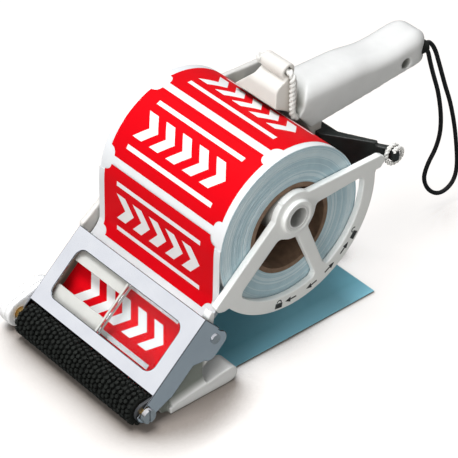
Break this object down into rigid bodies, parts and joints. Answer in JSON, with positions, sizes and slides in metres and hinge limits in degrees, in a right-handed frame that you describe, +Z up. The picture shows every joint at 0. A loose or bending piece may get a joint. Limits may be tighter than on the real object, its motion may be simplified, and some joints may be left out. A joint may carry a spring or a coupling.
{
  "type": "label dispenser",
  "caption": "Hand label dispenser: a label roll hangs on a spindle, a knobbly press roller drives the liner feed under a hinged chrome cover, with a side wheel, handle and wrist strap.",
  "frame": {"origin": "centre of the object's box on the surface it stands on, without the wrist strap", "axes": "+X along the roll's axis towards the side wheel, +Y from the press roller to the handle, +Z up"},
  "size_m": [0.1334, 0.309, 0.1633],
  "materials": {
    "white_plastic": "satin moulded",
    "black_plastic": "smooth",
    "black_steel": "painted",
    "steel": "bright",
    "chrome": "polished",
    "brass": "turned",
    "black_rubber": "moulded",
    "gear_plastic": "moulded",
    "clear_plastic": "clear",
    "label_paper": "printed label stock",
    "liner_paper": "glazed release paper",
    "cardboard": "wound board",
    "white_cord": "twisted",
    "black_cord": "braided"
  },
  "bodies": {
    "frame": {"front_body": "white_plastic", "left_side_frame": "white_plastic", "rear_rest": "white_plastic", "rest_bolts": "steel", "rear_bridge": "white_plastic", "latch_bow": "black_plastic", "bow_screws": "steel", "handle_shell": "white_plastic", "handle_bottom": "white_plastic", "handle_screws": "steel", "strap_grommet": "black_rubber", "spindle_tube": "white_plastic", "spindle_screw": "steel", "gear_case": "white_plastic", "gear_case_cover": "white_plastic", "case_screws": "steel", "idler_pin": "steel", "label_bed": "steel", "peel_plate": "steel", "roller_bracket": "black_steel", "bracket_rivets": "steel", "bush_right": "brass", "bush_left": "brass", "label_web": "label_paper", "liner_strip": "liner_paper", "liner_tail": "liner_paper", "elastic_cord": "white_cord", "wrist_strap": "black_cord"},
    "cover": {"front_cover": "chrome", "window_guide": "white_plastic", "clear_plate": "clear_plastic", "ear_rivet": "steel"},
    "front_roller": {"roller_sleeve": "black_rubber", "roller_core": "steel", "roller_gear": "gear_plastic", "roller_screw": "steel"},
    "idler": {"idler_gear": "gear_plastic"},
    "feed_roller": {"feed_shaft": "steel", "feed_sleeve": "black_rubber", "feed_gear": "gear_plastic"},
    "pressure_roller": {"pressure_shaft": "steel", "pressure_sleeve": "black_rubber"},
    "roll": {"label_roll": "label_paper", "roll_core": "cardboard"},
    "wheel_hub": {"hub_bush": "white_plastic"},
    "wheel": {"side_wheel": "white_plastic"}
  },
  "joints": [
    {"name": "cover_hinge", "type": "hinge", "parent": "frame", "child": "cover", "pos_m": [0.00475, -0.1254, 0.0106], "axis": [1, 0, 0], "range_deg": [0, 100]},
    {"name": "roller_spin", "type": "hinge", "parent": "frame", "child": "front_roller", "pos_m": [0.00475, -0.1254, 0.0106], "axis": [1, 0, 0], "continuous": true},
    {"name": "idler_spin", "type": "hinge", "parent": "frame", "child": "idler", "pos_m": [-0.05975, -0.10829, 0.0124], "axis": [1, 0, 0], "continuous": true},
    {"name": "feed_spin", "type": "hinge", "parent": "frame", "child": "feed_roller", "pos_m": [0.00475, -0.09484, 0.00854], "axis": [1, 0, 0], "continuous": true},
    {"name": "pressure_spin", "type": "hinge", "parent": "frame", "child": "pressure_roller", "pos_m": [0.00475, -0.08891, 0.017], "axis": [1, 0, 0], "continuous": true},
    {"name": "roll_spin", "type": "hinge", "parent": "frame", "child": "roll", "pos_m": [0.00475, -0.0114, 0.0845], "axis": [1, 0, 0], "continuous": true},
    {"name": "wheel_pull", "type": "slide", "parent": "frame", "child": "wheel_hub", "axis": [1, 0, 0], "range_m": [0, 0.05]},
    {"name": "wheel_turn", "type": "hinge", "parent": "wheel_hub", "child": "wheel", "pos_m": [0.05975, -0.0114, 0.096], "axis": [1, 0, 0], "range_deg": [0, 40]}
  ],
  "couplings": [
    {"joint": "idler_spin", "follows": "roller_spin", "ratio": -0.72},
    {"joint": "feed_spin", "follows": "roller_spin", "ratio": 1.8},
    {"joint": "pressure_spin", "follows": "roller_spin", "ratio": -3},
    {"joint": "roll_spin", "follows": "roller_spin", "ratio": -0.19811}
  ]
}
